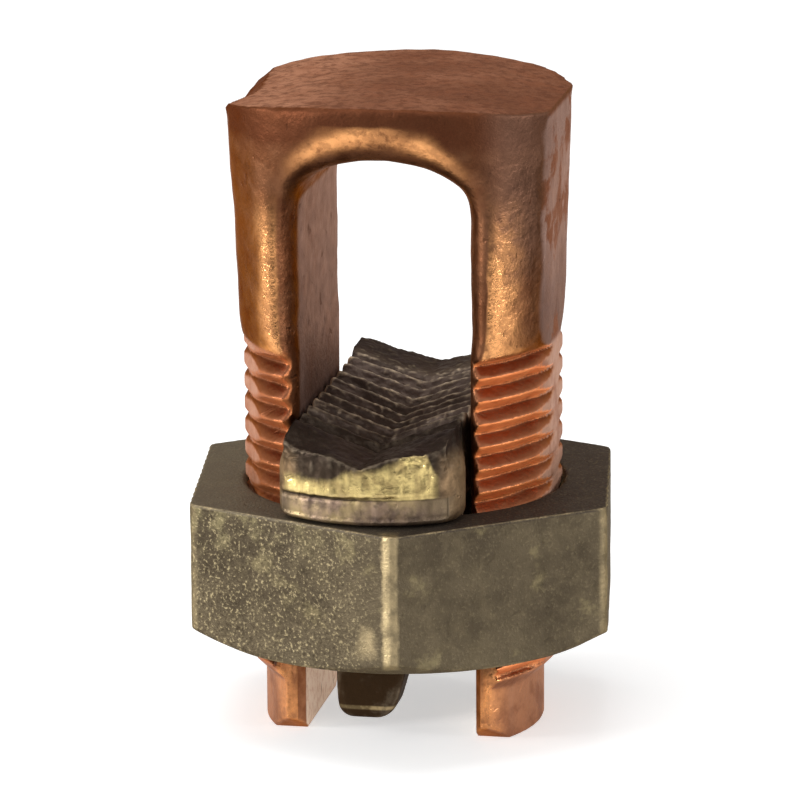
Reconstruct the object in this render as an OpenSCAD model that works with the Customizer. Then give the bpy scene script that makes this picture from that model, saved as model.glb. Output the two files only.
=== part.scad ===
// Split-bolt connector: a forged copper yoke bolt, a hex nut on its two threaded legs, and a
// pressure bar that rides on the nut and squeezes two conductors against the yoke's arch.
// Millimetres. Z runs up the bolt's axis, X across the two legs, Y along the conductors.
// The leg ends stand on Z = 0.

/* [Bolt] */
// Height from the leg ends to the middle of the crowned top
bolt_h = 45.3; // [42:0.1:52]
// Diameter of the head in plan, at its top
head_d = 24.6; // [23.8:0.1:27]
// Diameter of the head in plan, at the shoulder above the thread
shoulder_d = 23.4; // [22.8:0.1:23.8]
// Depth of the head between the middles of its front and back
head_depth = 23; // [21:0.1:23.4]
// Radius in plan of the bowed front and back of the head
head_bow_r = 14.5; // [13:0.1:20]
// Height of the shoulder above the leg ends
shoulder_z = 27.6; // [26.5:0.1:30]
// Width across the two side flats at the shoulder
flat_w = 21.5; // [20:0.1:22]
// How much each side flat leans outwards towards the top
flat_lean = 0.45; // [0:0.05:0.6]
// How far the middle of the top stands above the top edges of the side flats
crown_rise = 1.1; // [0.4:0.1:1.8]
// Outside diameter of the thread on the legs
thread_d = 22.2; // [21.6:0.1:22.6]
// Diameter of the plain pilot at the leg ends
pilot_d = 19.5; // [19:0.1:21]
// Length of the plain pilot
pilot_len = 3.9; // [2:0.1:5.5]
// Chamfer round the leg ends
end_chamfer = 0.3; // [0.2:0.1:1]
// Length of the flat leg ends along the slot
end_flat = 9.8; // [7:0.1:12]
// Slope of the bevels in front of and behind the flat leg ends
end_bevel_angle = 33; // [15:1:50]

/* [Conductor slot] */
// Width of the slot between the legs
slot_w = 11.7; // [10:0.1:12.6]
// Thickness of the crossbar over the middle of the arch
crossbar_t = 4.15; // [3.4:0.05:6]
// Radius of the arch under the crossbar
arch_r = 8.1; // [6.8:0.1:10]
// Length of the straight inner faces along the slot
inner_flat = 13; // [10:0.1:15]
// Radius of the rounded slot mouths
mouth_r = 6.3; // [5:0.1:8]
// Height to which the noses of the legs are trimmed back
trim_z = 6.4; // [4:0.1:8]
// Length of the straight inner faces in the trimmed part
trim_flat = 8; // [6:0.1:12]
// Radius of the slot mouths in the trimmed part
trim_mouth_r = 3; // [2.5:0.1:5]

/* [Nut] */
// Width across the flats of the nut
nut_af = 28.575; // [27:0.05:32]
// Height of the nut
nut_h = 10.2; // [8:0.1:12]
// Height of the nut's underside above the leg ends
nut_z = 7; // [5:0.1:9]
// How far the nut is turned about the bolt
nut_turn = 37.7; // [0:0.1:60]
// Diameter of the turned circle on the nut's underside
nut_face_d = 28.3; // [25:0.1:28.5]
// Slope of the turned chamfer
nut_chamfer_angle = 30; // [15:1:45]
// Radial running clearance between the nut and the thread
thread_clearance = 0.05; // [0.02:0.01:0.1]

/* [Pressure bar] */
// Length of the bar along the slot
bar_len = 29.2; // [26:0.1:32]
// Width of the bar's two ends, outside the legs
bar_end_w = 12.4; // [11.4:0.1:12.8]
// Height of the upright sides of the bar's two ends, above which they lean in
bar_end_h = 4.2; // [3:0.1:4.8]
// Radius in plan of the bar's bowed ends
bar_end_r = 9.5; // [8:0.1:14]
// How far the bar's narrow middle runs past the straight inner faces of the slot
waist_past = 1.7; // [1.2:0.1:2.4]
// Length over which the bar widens towards each end
waist_taper = 2.2; // [1.6:0.1:3]
// Height of the bar at its two top edges
bar_h = 6.3; // [5:0.1:8]
// Depth of the V along the bar's top
vee_depth = 2.1; // [1:0.1:2.6]
// Clearance between the bar and each leg
bar_clearance = 0.3; // [0.2:0.05:0.6]
// Clearance between the bar and the nut's top
seat_clearance = 0.05; // [0.02:0.01:0.1]
// Distance from one gripping ridge to the next
ridge_pitch = 2.05; // [1.5:0.05:2.6]
// Height of the gripping ridges
ridge_h = 0.4; // [0.2:0.05:0.6]
// Radius of the ends of the bar's underside
bar_foot_r = 0.9; // [0.4:0.1:1.5]
// Radius of the front end of the bar's top
bar_nose_r = 1.4; // [0.8:0.1:2.5]
// Length of the plain land in front of the ridges
front_land = 5.2; // [2:0.1:7]
// Length of the plain land behind the ridges
land_len = 5.5; // [2:0.1:7]
// Depth of the V along the land behind the ridges
land_depth = 1.1; // [0.5:0.1:2]

/* [Prongs] */
// Width of each prong where it leaves the bar
prong_w = 5.6; // [4:0.1:7]
// Thickness of each prong
prong_t = 3.2; // [2:0.1:4.5]
// Height of the prong tips above the leg ends
prong_tip_z = 2.6; // [1.5:0.1:5]
// How far each prong narrows on one side towards its tip
prong_narrow = 1.8; // [0:0.1:2.4]
// Length of the narrowing part of each prong
prong_taper = 6.2; // [3:0.1:9]
// Radius of the prong tips
prong_tip_r = 1; // [0.4:0.1:1.6]
// Clearance between the prongs and the nut's bore
prong_clearance = 0.4; // [0.3:0.05:1]

/* [Hidden] */
$fn = 96;

// How far cutting shapes run past the faces that they cut
over = 2;

// Bolt: top corners, crown and arch
top_edge_z = bolt_h - crown_rise;
flat_top_w = flat_w + 2 * flat_lean;
flat_over_w = flat_w + 2 * flat_lean * (bolt_h - shoulder_z) / (top_edge_z - shoulder_z);
crown_r = (pow(flat_top_w / 2, 2) + pow(crown_rise, 2)) / (2 * crown_rise);
slot_half = slot_w / 2;
arch_top_z = bolt_h - crossbar_t;
arch_z = arch_top_z - arch_r;
slot_reach = head_d / 2 + over;

// Nut
nut_top_z = nut_z + nut_h;
bore_r = thread_d / 2 + thread_clearance;
nut_corner_r = nut_af / 2 / cos(30);

// Pressure bar: the ridges follow the two slopes of the V
bar_w = slot_w - 2 * bar_clearance;
waist_len = inner_flat + 2 * waist_past;
bar_z = nut_top_z + seat_clearance;
bar_top_z = bar_z + bar_h;
ridge_start = -bar_len / 2 + front_land;
ridge_count = floor((bar_len - front_land - land_len) / ridge_pitch);
prong_r = bore_r - prong_clearance;

// One mouth of the slot in plan: straight between the flats, then curving open
module mouth_plan(half, flat, r, reach) {
    square([2 * half, 2 * reach], center = true);
    for (end = [-1, 1]) {
        difference() {
            translate([-half - r, end > 0 ? flat / 2 : -reach]) square([2 * (half + r), reach - flat / 2]);
            for (side = [-1, 1]) {
                translate([side * (half + r), end * flat / 2]) circle(r);
            }
        }
    }
}

// The same mouth turned into a disc, for the arch
module arch_disc() {
    rotate([90, 0, 0])
        rotate_extrude()
            intersection() {
                mouth_plan(arch_r, inner_flat, mouth_r, slot_reach);
                translate([0, -slot_reach]) square([arch_r + mouth_r, 2 * slot_reach]);
            }
}

// Everything that the slot takes out of the bolt: straight between the legs, round under the arch
module slot_cut() {
    intersection() {
        translate([0, 0, trim_z])
            linear_extrude(bolt_h) mouth_plan(slot_half, inner_flat, mouth_r, slot_reach);
        union() {
            translate([0, 0, arch_z]) arch_disc();
            translate([-slot_reach, -slot_reach, 0]) cube([2 * slot_reach, 2 * slot_reach, arch_z]);
        }
    }
    translate([0, 0, -over])
        linear_extrude(trim_z + over) mouth_plan(slot_half, trim_flat, trim_mouth_r, slot_reach);
}

// Side flats, leaning outwards above the shoulder, under the crowned top
module flats_and_crown() {
    rotate([90, 0, 0])
        linear_extrude(2 * slot_reach, center = true)
            intersection() {
                polygon([
                    [-flat_w / 2, 0],
                    [flat_w / 2, 0],
                    [flat_w / 2, shoulder_z],
                    [flat_over_w / 2, bolt_h],
                    [-flat_over_w / 2, bolt_h],
                    [-flat_w / 2, shoulder_z]
                ]);
                translate([0, bolt_h - crown_r]) circle(crown_r, $fn = 360);
            }
}

// Plan of the head: a bowed front and a bowed back
module head_bows() {
    intersection() {
        translate([0, head_bow_r - head_depth / 2, -over]) cylinder(h = bolt_h + 2 * over, r = head_bow_r);
        translate([0, head_depth / 2 - head_bow_r, -over]) cylinder(h = bolt_h + 2 * over, r = head_bow_r);
    }
}

// Side view of the legs: flat ends between two bevels
module leg_bevels() {
    bevel_rise = (slot_reach - end_flat / 2) * tan(end_bevel_angle);
    rotate([90, 0, 90])
        linear_extrude(2 * slot_reach, center = true)
            polygon([
                [-end_flat / 2, 0],
                [end_flat / 2, 0],
                [slot_reach, bevel_rise],
                [slot_reach, bolt_h + over],
                [-slot_reach, bolt_h + over],
                [-slot_reach, bevel_rise]
            ]);
}

// Turned blank: chamfered pilot, thread, shoulder and the slightly wider head
module turned_blank() {
    rotate_extrude()
        polygon([
            [0, 0],
            [pilot_d / 2 - end_chamfer, 0],
            [pilot_d / 2, end_chamfer],
            [pilot_d / 2, pilot_len],
            [thread_d / 2, pilot_len + (thread_d - pilot_d) / 2],
            [thread_d / 2, shoulder_z],
            [shoulder_d / 2, shoulder_z + (shoulder_d - thread_d) / 2],
            [head_d / 2, bolt_h],
            [0, bolt_h]
        ]);
}

module split_bolt() {
    color("peru")
        difference() {
            intersection() {
                turned_blank();
                flats_and_crown();
                head_bows();
                leg_bevels();
            }
            slot_cut();
        }
}

// Hexagon with a turned chamfer on its underside only
module hex_nut() {
    color("darkkhaki")
        difference() {
            intersection() {
                translate([0, 0, nut_z])
                    rotate([0, 0, nut_turn]) cylinder(h = nut_h, r = nut_corner_r, $fn = 6);
                rotate_extrude()
                    polygon([
                        [0, nut_z],
                        [nut_face_d / 2, nut_z],
                        [
                            nut_corner_r + over,
                            nut_z + (nut_corner_r + over - nut_face_d / 2) * tan(nut_chamfer_angle)
                        ],
                        [nut_corner_r + over, nut_top_z],
                        [0, nut_top_z]
                    ]);
            }
            translate([0, 0, nut_z - over]) cylinder(h = nut_h + 2 * over, r = bore_r);
        }
}

// One corner of a profile, to be cut away: a square less its round, with the corner at the origin
module corner_cut(r) {
    difference() {
        translate([-r, -r]) square(r + over);
        translate([-r, -r]) circle(r);
    }
}

// Plan of the bar: narrow between the legs, wide at its two bowed ends
module bar_plan() {
    taper_y = waist_len / 2 + waist_taper;
    difference() {
        polygon([
            for (end = [-1, 1]) each [
                [end * bar_w / 2, -end * waist_len / 2],
                [end * bar_w / 2, end * waist_len / 2],
                [end * bar_end_w / 2, end * taper_y],
                [end * bar_end_w / 2, end * bar_len / 2],
                [-end * bar_end_w / 2, end * bar_len / 2],
                [-end * bar_end_w / 2, end * taper_y]
            ]
        ]);
        for (turn = [0, 180]) {
            rotate(turn)
                translate([0, bar_len / 2 - bar_end_r])
                    difference() {
                        translate([-bar_end_w, 0]) square([2 * bar_end_w, bar_end_r + over]);
                        circle(bar_end_r);
                    }
        }
    }
}

// Side view of the bar, front to the left: round foot ends and a round front of the top
module bar_side() {
    difference() {
        translate([-bar_len / 2, 0]) square([bar_len, bar_h]);
        translate([-bar_len / 2, bar_h]) mirror([1, 0]) corner_cut(bar_nose_r);
        for (end = [0, 1]) {
            mirror([end, 0]) translate([bar_len / 2, 0]) mirror([0, 1]) corner_cut(bar_foot_r);
        }
    }
}

// End view of the bar: the wide ends lean in to the bar's own width at the top
module bar_end_view() {
    polygon([
        [-bar_end_w / 2, 0],
        [bar_end_w / 2, 0],
        [bar_end_w / 2, bar_end_h],
        [bar_w / 2, bar_h],
        [-bar_w / 2, bar_h],
        [-bar_end_w / 2, bar_end_h]
    ]);
}

// Side view of the ridges: a row of teeth between two plain lands, above a deep base
module ridge_profile() {
    polygon([
        [-bar_len, -bar_h - over],
        [-bar_len, -ridge_h / 4],
        [ridge_start - ridge_pitch / 4, -ridge_h / 4],
        for (i = [0 : ridge_count - 1]) each [
            [ridge_start + i * ridge_pitch, -ridge_h],
            [ridge_start + (i + 0.5) * ridge_pitch, 0]
        ],
        [ridge_start + ridge_count * ridge_pitch, -ridge_h],
        [ridge_start + (ridge_count + 0.25) * ridge_pitch, -ridge_h / 4],
        [bar_len, -ridge_h / 4],
        [bar_len, -bar_h - over]
    ]);
}

// One slope of a V of the given depth, from the bar's middle outwards, under a side view
module vee_slope(depth) {
    intersection() {
        translate([0, 0, bar_top_z - depth])
            rotate([0, -atan(depth / (bar_w / 2)), 0])
                rotate([90, 0, 90])
                    linear_extrude(2 * bar_end_w, center = true) children();
        translate([0, -bar_len, bar_z - over]) cube([bar_end_w, 2 * bar_len, bar_h + 2 * over]);
    }
}

// The bar's V-shaped top: ridges, then the plain land at the rear
module vee_top() {
    for (side = [0, 1]) {
        mirror([side, 0, 0]) vee_slope(vee_depth) ridge_profile();
        mirror([side, 0, 0])
            vee_slope(land_depth)
                translate([bar_len / 2 - land_len, -bar_h - over]) square([bar_len, bar_h + over]);
    }
}

// One prong that hangs through the nut, upright on one edge and narrowing on the other
module prong() {
    intersection() {
        translate([0, -prong_r + prong_t, 0])
            rotate([90, 0, 0])
                linear_extrude(prong_t)
                    hull() {
                        translate([-prong_w / 2 + prong_tip_r, prong_tip_z + prong_tip_r])
                            circle(prong_tip_r, $fn = 32);
                        translate([prong_w / 2 - prong_narrow - prong_tip_r, prong_tip_z + prong_tip_r])
                            circle(prong_tip_r, $fn = 32);
                        translate([-prong_w / 2, prong_tip_z + prong_taper])
                            square([prong_w, bar_z + bar_foot_r - prong_tip_z - prong_taper]);
                    }
        cylinder(h = bar_top_z, r = prong_r);
    }
}

module pressure_bar() {
    color("dimgray") {
        intersection() {
            vee_top();
            translate([0, 0, bar_z]) linear_extrude(bar_h) bar_plan();
            translate([0, 0, bar_z])
                rotate([90, 0, 90]) linear_extrude(bar_end_w + over, center = true) bar_side();
            translate([0, 0, bar_z])
                rotate([90, 0, 0]) linear_extrude(bar_len + over, center = true) bar_end_view();
        }
        for (turn = [0, 180]) {
            rotate([0, 0, turn]) prong();
        }
    }
}

split_bolt();
hex_nut();
pressure_bar();
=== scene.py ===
import math

import bmesh
import bpy
from mathutils import Matrix, Vector, noise


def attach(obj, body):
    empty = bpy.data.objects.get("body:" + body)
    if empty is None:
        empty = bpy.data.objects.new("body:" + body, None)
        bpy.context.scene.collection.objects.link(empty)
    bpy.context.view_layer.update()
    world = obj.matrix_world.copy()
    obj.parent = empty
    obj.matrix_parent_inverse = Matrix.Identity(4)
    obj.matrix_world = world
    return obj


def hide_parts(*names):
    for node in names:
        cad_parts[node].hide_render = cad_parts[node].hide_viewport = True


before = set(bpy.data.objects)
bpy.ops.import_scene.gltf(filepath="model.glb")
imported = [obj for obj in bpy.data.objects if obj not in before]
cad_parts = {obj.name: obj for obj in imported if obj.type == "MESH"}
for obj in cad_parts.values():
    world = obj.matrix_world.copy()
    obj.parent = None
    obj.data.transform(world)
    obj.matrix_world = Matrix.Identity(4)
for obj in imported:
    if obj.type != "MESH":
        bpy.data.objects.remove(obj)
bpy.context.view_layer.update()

# Sizes are in millimetres, in the frame of the part: Z up the bolt's axis, X across the legs, Y along the slot.
# Angles with a name are in degrees.
MM = 0.001

# Head of the split bolt
BOLT_TOP = 45.3
TOP_EDGE = 44.2
SHOULDER = 27.6
FLAT_HALF = 10.75
FLAT_TOP_HALF = 11.2
HEAD_LOW = 28.2
HEAD_LOW_R = 11.7
BLANK_TOP = 46.5
BLANK_TOP_R = 12.34
HEAD_HALF_DEPTH = 11.5
HEAD_BOW_R = 14.5
CROWN_R = 57.57

# Slot of the split bolt. A bell is the distance from the middle at which a mouth starts to open, and its radius.
SLOT_HALF = 5.85
SLOT_LOW = -3
ARCH_R = 8.1
ARCH_MIDDLE = 33.05
SPRING_ROUND = 1.7
SIDE_BELL = (6.3, 4.2)
ARCH_BELL = (8.2, 3.4)
SLOT_REACH = 12.4
TRIM_TOP = 6.4
TRIM_BELL = (4.0, 3.0)
TRIM_REACH = 12.0

# Legs of the split bolt
PILOT_R = 9.75
PILOT_EDGE = 0.13
PILOT_TOP = 3.9
THREAD_LOW = 5.25
LEG_BEVEL_START = 4.9
LEG_BEVEL_ANGLE = 33
PRESSED_R = 10.84
PRESSED_TURN = 25.5

# Thread. CREST_HEIGHT is the height of a crest on the +X side of the bolt.
PITCH = 25.4 / 16
CREST_R = 11.1
ROOT_R = 10.22
CREST_HEIGHT = 23.435
GROOVE_HALF = 0.74

# Hex nut
NUT_LOW = 7.0
NUT_HIGH = 17.2
NUT_TURN = 37.7
NUT_FLATS = 28.575
NUT_RIDGE_ROUND = 0.45
NUT_TURNED_R = 17.2
CHAMFER_R = 14.15
CHAMFER_ANGLE = 30
BORE_R = 10.85
BORE_MOUTH_LOW_R = 12.3
BORE_MOUTH_HIGH_R = 11.6
BORE_GROOVE_R = 11.24

# Pressure bar
BAR_LOW = 17.25
BAR_HIGH = 23.55
BAR_HALF_WIDTH = 5.55
BAR_END_HALF_WIDTH = 6.2
BAR_HALF_LENGTH = 14.6
FRONT_BOW_R = 9.5
REAR_BOW_R = 16.0
WAIST_HALF = 8.2
WAIST_OUT = 10.4
V_DEPTH = 2.1
RIDGE_PITCH = 2.05
RIDGE_DEPTH = 0.6
RIDGE_START = -9.4
RIDGE_COUNT = 9
LAND_DEPTH = 0.12
PRONG_HALF_WIDTH = 2.8
PRONG_TIP = 2.6
PRONG_TIP_SIDE = 1.0
PRONG_SHOULDER = 8.8
PRONG_ROOT = BAR_LOW + 1.5
PRONG_FRONT = -10.6
PRONG_DEPTH = 3.05
# The slit across the front end, and how it climbs towards +X
SLIT_HEIGHT = BAR_LOW + 2.0
SLIT_CLIMB = 0.026
FRONT_SHIFT = 0.3

# Fineness of the meshes
LATHE_STEPS = 144
SCREW_STEPS = 72
BELL_STEPS = 13
BOLT_VOXEL = 0.14
NUT_VOXEL = 0.17
BAR_VOXEL = 0.14
EDGE_PASSES = 2
FORGE_PASSES = 620
BOLT_TRIANGLES = 185000
NUT_TRIANGLES = 130000
BAR_TRIANGLES = 130000


def smoothstep(low, high, value):
    """0 at low and 1 at high, eased between them; low may be the larger one."""
    t = min(1.0, max(0.0, (value - low) / (high - low)))
    return t * t * (3 - 2 * t)


# Modelling tools

def new_object(name, data):
    """Makes an object and puts it in the scene."""
    obj = bpy.data.objects.new(name, data)
    bpy.context.scene.collection.objects.link(obj)
    return obj


def mesh_object(name, bm):
    """Makes an object of a bmesh, which is used up."""
    mesh = bpy.data.meshes.new(name)
    bm.to_mesh(mesh)
    bm.free()
    return new_object(name, mesh)


def shape(name, bm):
    """Makes a scratch object of a bmesh, closed and facing outwards."""
    bmesh.ops.remove_doubles(bm, verts=bm.verts, dist=0.0005)
    bmesh.ops.holes_fill(bm, edges=bm.edges, sides=0)
    bmesh.ops.recalc_face_normals(bm, faces=bm.faces)
    return mesh_object(name, bm)


def shift(bm, offset):
    bmesh.ops.translate(bm, vec=offset, verts=bm.verts)


def swing(bm, angle, axis):
    """Turns a bmesh about an axis of the frame, by an angle in radians."""
    bmesh.ops.rotate(bm, cent=(0, 0, 0), matrix=Matrix.Rotation(angle, 3, axis), verts=bm.verts)


def round_off(bm, geom, offset, segments, affect="EDGES"):
    bmesh.ops.bevel(bm, geom=geom, offset=offset, segments=segments, profile=0.5, affect=affect, material=-1)


def block(size, middle):
    bm = bmesh.new()
    bmesh.ops.create_cube(bm, size=1.0)
    bmesh.ops.scale(bm, vec=size, verts=bm.verts)
    shift(bm, middle)
    return bm


def evaluate(obj):
    """The mesh that an object's modifiers make of it. The modifiers are used up."""
    graph = bpy.context.evaluated_depsgraph_get()
    mesh = bpy.data.meshes.new_from_object(obj.evaluated_get(graph))
    obj.modifiers.clear()
    return mesh


def combine(obj, operation, other):
    """Cuts, joins or intersects an object with another, which is used up."""
    step = obj.modifiers.new("combine", "BOOLEAN")
    step.operation = operation
    step.solver = "EXACT"
    step.object = other
    obj.data = evaluate(obj)
    bpy.data.objects.remove(other)


def lathe(name, outline):
    """Turns an outline of radius and height about the bolt's axis."""
    bm = bmesh.new()
    verts = [bm.verts.new((r, 0, z)) for r, z in outline]
    edges = [bm.edges.new(pair) for pair in zip(verts, verts[1:])]
    bmesh.ops.spin(
        bm, geom=verts + edges, cent=(0, 0, 0), axis=(0, 0, 1), angle=math.tau, steps=LATHE_STEPS, use_merge=True,
    )
    return shape(name, bm)


def helix(section, start, turns):
    """Sweeps a section of radius and height round a right-hand screw line that starts on the +X side."""
    bm = bmesh.new()
    verts = [bm.verts.new((r, 0, start + z)) for r, z in section]
    edges = [bm.edges.new((a, b)) for a, b in zip(verts, verts[1:] + verts[:1])]
    bmesh.ops.spin(
        bm, geom=verts + edges, cent=(0, 0, 0), axis=(0, 0, 1), dvec=(0, 0, PITCH / SCREW_STEPS),
        angle=math.tau * turns, steps=round(SCREW_STEPS * turns),
    )
    return bm


def outline_face(bm, corners):
    """A flat face in X and Z through the corners."""
    return bm.faces.new([bm.verts.new((x, 0, z)) for x, z in corners])


def pull(bm, face, offset):
    """Extrudes a face by an offset, and gives the new end face."""
    made = bmesh.ops.extrude_face_region(bm, geom=[face])["geom"]
    bmesh.ops.translate(bm, vec=offset, verts=[v for v in made if isinstance(v, bmesh.types.BMVert)])
    if any(len(e.link_faces) > 2 for e in face.edges):
        bmesh.ops.delete(bm, geom=[face], context="FACES_ONLY")
    return next(f for f in made if isinstance(f, bmesh.types.BMFace))


def spread(face, amount, above):
    """Moves the rim of a face that stands across Y outwards, in its own plane; above is the amount at its top."""
    verts = list(face.verts)
    middle = face.calc_center_median()
    moves = []
    for i, v in enumerate(verts):
        along = (verts[(i + 1) % len(verts)].co - verts[i - 1].co).normalized()
        out = Vector((along.z, 0, -along.x))
        if out.dot(v.co - middle) < 0:
            out.negate()
        moves.append(out * (amount + (above - amount) * max(0.0, out.z) ** 2))
    for v, move in zip(verts, moves):
        v.co += move


def opening(y, start, radius):
    """How far a bell mouth has opened at a distance y from the middle."""
    along = min(max(y - start, 0.0), radius)
    return radius - math.sqrt(radius ** 2 - along ** 2)


def mouth(name, corners, rounded, sides, arch, reach):
    """A slot cutter with the outline of the corners, which opens like a bell past its straight middle.

    The corners listed as rounded are rounded first. The bells of the sides and of the arch are given.
    """
    bm = bmesh.new()
    face = outline_face(bm, corners)
    if rounded:
        tips = [min(face.verts, key=lambda v: (v.co - Vector((x, 0, z))).length) for x, z in rounded]
        round_off(bm, tips, SPRING_ROUND, 7, "VERTICES")
        face = next(iter(bm.faces))
    first = min(sides[0], arch[0])
    shares = [1 - (1 - i / BELL_STEPS) ** 1.3 for i in range(BELL_STEPS)]
    levels = [first + (reach - first) * share for share in shares] + [reach]
    opens = [(opening(y, *sides), opening(y, *arch)) for y in levels]
    shift(bm, (0, -reach, 0))
    spread(face, *opens[-1])
    here, now = -reach, opens[-1]
    for y, wide in [(-y, o) for y, o in zip(levels[-2::-1], opens[-2::-1])] + list(zip(levels, opens)):
        face = pull(bm, face, (0, y - here, 0))
        spread(face, wide[0] - now[0], wide[1] - now[1])
        here, now = y, wide
    return shape(name, bm)


def even_out(obj, passes):
    """Adds a modifier that evens the surface out, a little at each pass."""
    step = obj.modifiers.new("even_out", "SMOOTH")
    step.factor = 0.5
    step.iterations = passes
    return step


def refine(obj, voxel):
    """Remeshes an object to small even faces and takes the sharpness off its edges."""
    step = obj.modifiers.new("even_faces", "REMESH")
    step.mode = "VOXEL"
    step.voxel_size = voxel
    even_out(obj, EDGE_PASSES)
    obj.data = evaluate(obj)


def soften(obj, passes, weight):
    """Rounds an object further where the weight of a point says so."""
    forged = obj.vertex_groups.new(name="forged")
    for v in obj.data.vertices:
        w = weight(v.co)
        if w > 0:
            forged.add([v.index], w, "REPLACE")
    even_out(obj, passes).vertex_group = forged.name
    obj.data = evaluate(obj)
    obj.vertex_groups.clear()


def sculpt(obj, push):
    """Moves each point by the offset that push gives for its place and normal."""
    moves = [push(v.co, v.normal) for v in obj.data.vertices]
    for v, move in zip(obj.data.vertices, moves):
        v.co += move
    obj.data.update()


def thin_out(obj, triangles):
    """Leaves about that many triangles, the most where the surface curves."""
    have = sum(len(p.vertices) - 2 for p in obj.data.polygons)
    step = obj.modifiers.new("thin_out", "DECIMATE")
    step.ratio = min(1.0, triangles / have)
    obj.data = evaluate(obj)


def keep(obj, name, values):
    """Keeps a value of each point as an attribute."""
    obj.data.attributes.new(name, "FLOAT", "POINT").data.foreach_set("value", values)


def mark(obj, name, value):
    """Keeps what value gives for the place and normal of each point."""
    keep(obj, name, [value(v.co, v.normal) for v in obj.data.vertices])


def mark_proud(obj, passes, full):
    """Keeps how far each point stands proud of its surroundings: 1 on a sharp ridge, -1 in a hollow."""
    even_out(obj, passes)
    around = evaluate(obj)
    pairs = zip(obj.data.vertices, around.vertices)
    proud = [(v.co - other.co).dot(v.normal) / full for v, other in pairs]
    bpy.data.meshes.remove(around)
    keep(obj, "edge", proud)


def finish_piece(obj, name, body, node, material):
    """Scales a piece to metres, gives it its finish, and puts it in the place of its solid."""
    obj.name = name
    obj.data.name = name
    obj.data.transform(Matrix.Scale(MM, 4))
    obj.data.polygons.foreach_set("use_smooth", [True] * len(obj.data.polygons))
    obj.data.materials.clear()
    obj.data.materials.append(material)
    obj.data.update()
    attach(obj, body)
    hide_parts(node)


# Split bolt

def crown_outline():
    """Side flats and crowned top, seen along the slot."""
    bm = bmesh.new()
    low_right = bm.verts.new((FLAT_HALF, 0, -1))
    shoulder_right = bm.verts.new((FLAT_HALF, 0, SHOULDER))
    top_right = bm.verts.new((FLAT_TOP_HALF, 0, TOP_EDGE))
    crown = bmesh.ops.spin(
        bm, geom=[top_right], cent=(0, 0, BOLT_TOP - CROWN_R), axis=(0, 1, 0),
        angle=-2 * math.asin(FLAT_TOP_HALF / CROWN_R), steps=36,
    )
    top_left = crown["geom_last"][0]
    shoulder_left = bm.verts.new((-FLAT_HALF, 0, SHOULDER))
    low_left = bm.verts.new((-FLAT_HALF, 0, -1))
    chain = [top_left, shoulder_left, low_left, low_right, shoulder_right, top_right]
    for pair in zip(chain, chain[1:]):
        bm.edges.new(pair)
    face = bmesh.ops.contextual_create(bm, geom=bm.edges)["faces"][0]
    shift(bm, (0, -HEAD_HALF_DEPTH, 0))
    pull(bm, face, (0, 2 * HEAD_HALF_DEPTH, 0))
    return shape("crown_outline", bm)


def arch_corners():
    """Outline of the slot seen along it, straight sides under a round arch, and the two corners where they meet."""
    spring = ARCH_MIDDLE + math.sqrt(ARCH_R ** 2 - SLOT_HALF ** 2)
    half = math.asin(SLOT_HALF / ARCH_R)
    arch = [
        (ARCH_R * math.sin(a), ARCH_MIDDLE + ARCH_R * math.cos(a))
        for a in (half * (1 - i / 10) for i in [0, *range(4, 17), 20])
    ]
    outline = [(SLOT_HALF, SLOT_LOW)] + arch + [(-SLOT_HALF, SLOT_LOW)]
    return outline, [(SLOT_HALF, spring), (-SLOT_HALF, spring)]


def thread_groove():
    """The groove between the thread's crests. It runs out under the shoulder, and is shallow at the legs' sides."""
    rim, past = CREST_R + 0.02, CREST_R + 1.4
    section = [
        (ROOT_R, -0.05), (ROOT_R, 0.05), (rim, GROOVE_HALF), (past, GROOVE_HALF), (past, -GROOVE_HALF),
        (rim, -GROOVE_HALF),
    ]
    bm = helix(section, CREST_HEIGHT + PITCH / 2 - 13 * PITCH, 15.6)
    for v in bm.verts:
        out = Vector((v.co.x, v.co.y, 0)).normalized()
        side = (0.72, 0.9) if out.x * out.y > 0 else (0.9, 0.97)
        v.co += out * (1.3 * smoothstep(27.3, 28.2, v.co.z) + 0.45 * smoothstep(*side, abs(out.x)))
    return shape("thread_groove", bm)


def pressed_flat(turn):
    """A slanting flat on the outside of a leg, pressed before the thread was cut."""
    bm = block((4, 16, 24), (PRESSED_R + 2, 0, SHOULDER - 12))
    swing(bm, math.radians(PRESSED_TURN) + turn, "Z")
    return shape("pressed_flat", bm)


def leg_bevel(leg, end):
    """The wedge that bevels one leg's end towards the front or the back."""
    bm = block((13, 20, 10), (leg * 6.6, end * 10, -5))
    swing(bm, end * math.radians(LEG_BEVEL_ANGLE), "X")
    shift(bm, (0, end * LEG_BEVEL_START, 0))
    return shape("leg_bevel", bm)


def forged_weight(co):
    """Where the forging die left the edges round: the head but for its crisp top edge, and the noses of the legs."""
    head = smoothstep(27.4, 28.7, co.z) * (1 - smoothstep(43.2, TOP_EDGE, co.z))
    nose = smoothstep(7.7, 6.6, abs(co.x)) * smoothstep(7.6, 8.6, abs(co.y)) * smoothstep(17.3, 18.5, co.z)
    return max(head, 0.08 * nose)


def sheared_face(co, normal):
    """1 on the flat faces that the die sheared: top, side flats, the slot's inner walls and the legs' pressed flats."""
    if co.z < SHOULDER and abs(co.x) > 8:
        return smoothstep(0.84, 0.94, abs(normal.x))
    if abs(co.x) < 7 and co.z < 40:
        return smoothstep(0.965, 0.99, abs(normal.x)) * smoothstep(7.1, 6.4, abs(co.y))
    top = smoothstep(0.9, 0.975, normal.z) * smoothstep(39.0, 41.0, co.z)
    return max(top, smoothstep(0.9, 0.975, abs(normal.x)))


def leg_outward(co, normal):
    """1 where a leg's surface faces straight away from the slot, -1 where it faces into it."""
    return math.copysign(1.0, co.x) * normal.x


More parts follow.
